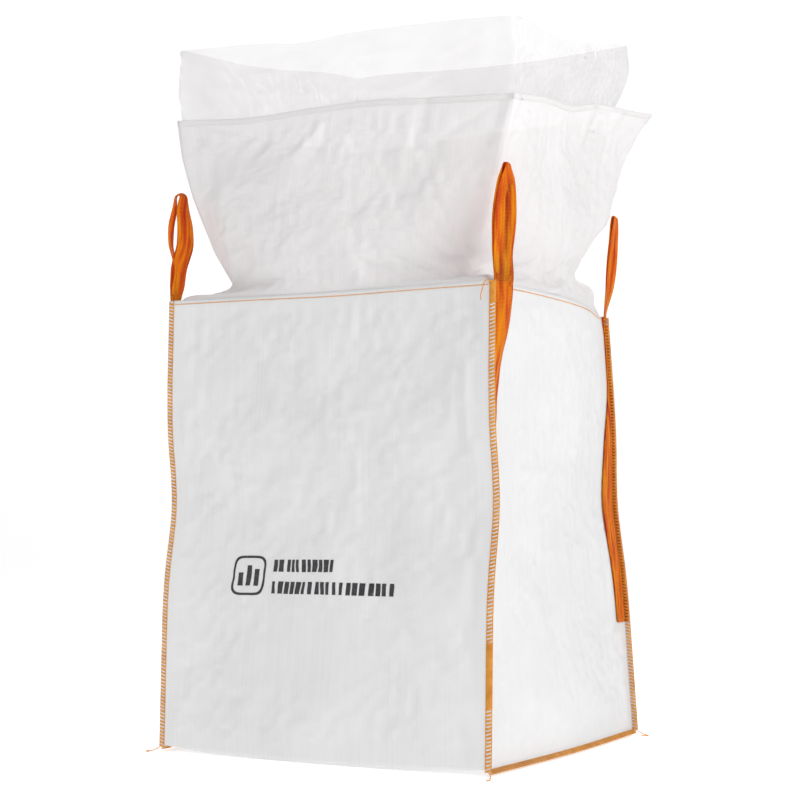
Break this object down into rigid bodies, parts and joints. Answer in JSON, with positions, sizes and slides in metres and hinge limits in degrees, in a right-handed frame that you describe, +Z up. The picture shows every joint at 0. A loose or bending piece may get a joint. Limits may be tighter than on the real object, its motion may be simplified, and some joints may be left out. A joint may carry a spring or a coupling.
{
  "type": "bulk bag",
  "caption": "Empty standing bulk bag with a pinched open top skirt, a loose film liner and webbing lifting loops at its corners.",
  "frame": {"origin": "middle of the base, on the floor the bag stands on", "axes": "+Z up, -Y towards the printed front panel, +X towards the right side panel"},
  "size_m": [1.0409, 0.9988, 1.9223],
  "materials": {
    "woven_fabric": "flat woven tape cloth, slight sheen",
    "skirt_fabric": "thin translucent woven tape cloth",
    "liner_film": "clear soft film with fine crinkles",
    "webbing": "flat woven strap, satin",
    "seam_thread": "twisted sewing thread",
    "hem_thread": "fine sewing thread"
  },
  "bodies": {
    "bag": {"u_panel": "woven_fabric", "side_panel_left": "woven_fabric", "side_panel_right": "woven_fabric", "top_skirt": "skirt_fabric", "inner_liner": "liner_film", "corner_overlock_front_left": "seam_thread", "corner_overlock_front_right": "seam_thread", "corner_overlock_back_right": "seam_thread", "corner_overlock_back_left": "seam_thread", "corner_stitch_front_left": "seam_thread", "corner_stitch_front_right": "seam_thread", "corner_stitch_back_right": "seam_thread", "corner_stitch_back_left": "seam_thread", "base_overlock_left": "seam_thread", "base_overlock_right": "seam_thread", "skirt_seam_stitch": "seam_thread", "hem_stitch": "hem_thread", "leg_inner_front_left": "webbing", "leg_inner_front_right": "webbing", "leg_inner_back_right": "webbing", "leg_inner_back_left": "webbing", "leg_outer_front_left": "webbing", "leg_outer_front_right": "webbing", "leg_outer_back_right": "webbing", "leg_outer_back_left": "webbing", "leg_stitch_front_left": "seam_thread", "leg_stitch_front_right": "seam_thread", "leg_stitch_back_right": "seam_thread", "leg_stitch_back_left": "seam_thread", "thread_tail_front_left": "seam_thread", "thread_tail_front_right": "seam_thread", "thread_tail_back_right": "seam_thread", "thread_tail_top": "seam_thread"},
    "loop_front_left": {"lifting_loop_front_left": "webbing"},
    "loop_front_right": {"lifting_loop_front_right": "webbing"},
    "loop_back_right": {"lifting_loop_back_right": "webbing"},
    "loop_back_left": {"lifting_loop_back_left": "webbing"}
  },
  "joints": [
    {"name": "loop_front_left_fold", "type": "hinge", "parent": "bag", "child": "loop_front_left", "pos_m": [-0.4357, -0.44755, 1.152], "axis": [0.1804, -0.9836, 0], "range_deg": [-6, 155]},
    {"name": "loop_front_right_fold", "type": "hinge", "parent": "bag", "child": "loop_front_right", "pos_m": [0.47241, -0.41046, 1.152], "axis": [0.0409, 0.9992, 0], "range_deg": [-8, 155]},
    {"name": "loop_back_right_fold", "type": "hinge", "parent": "bag", "child": "loop_back_right", "pos_m": [0.39235, 0.42344, 1.152], "axis": [-0.2274, 0.9738, 0], "range_deg": [-10, 155]},
    {"name": "loop_back_left_fold", "type": "hinge", "parent": "bag", "child": "loop_back_left", "pos_m": [-0.51535, 0.39141, 1.152], "axis": [0.0071, -1, 0], "range_deg": [-9, 155]}
  ]
}
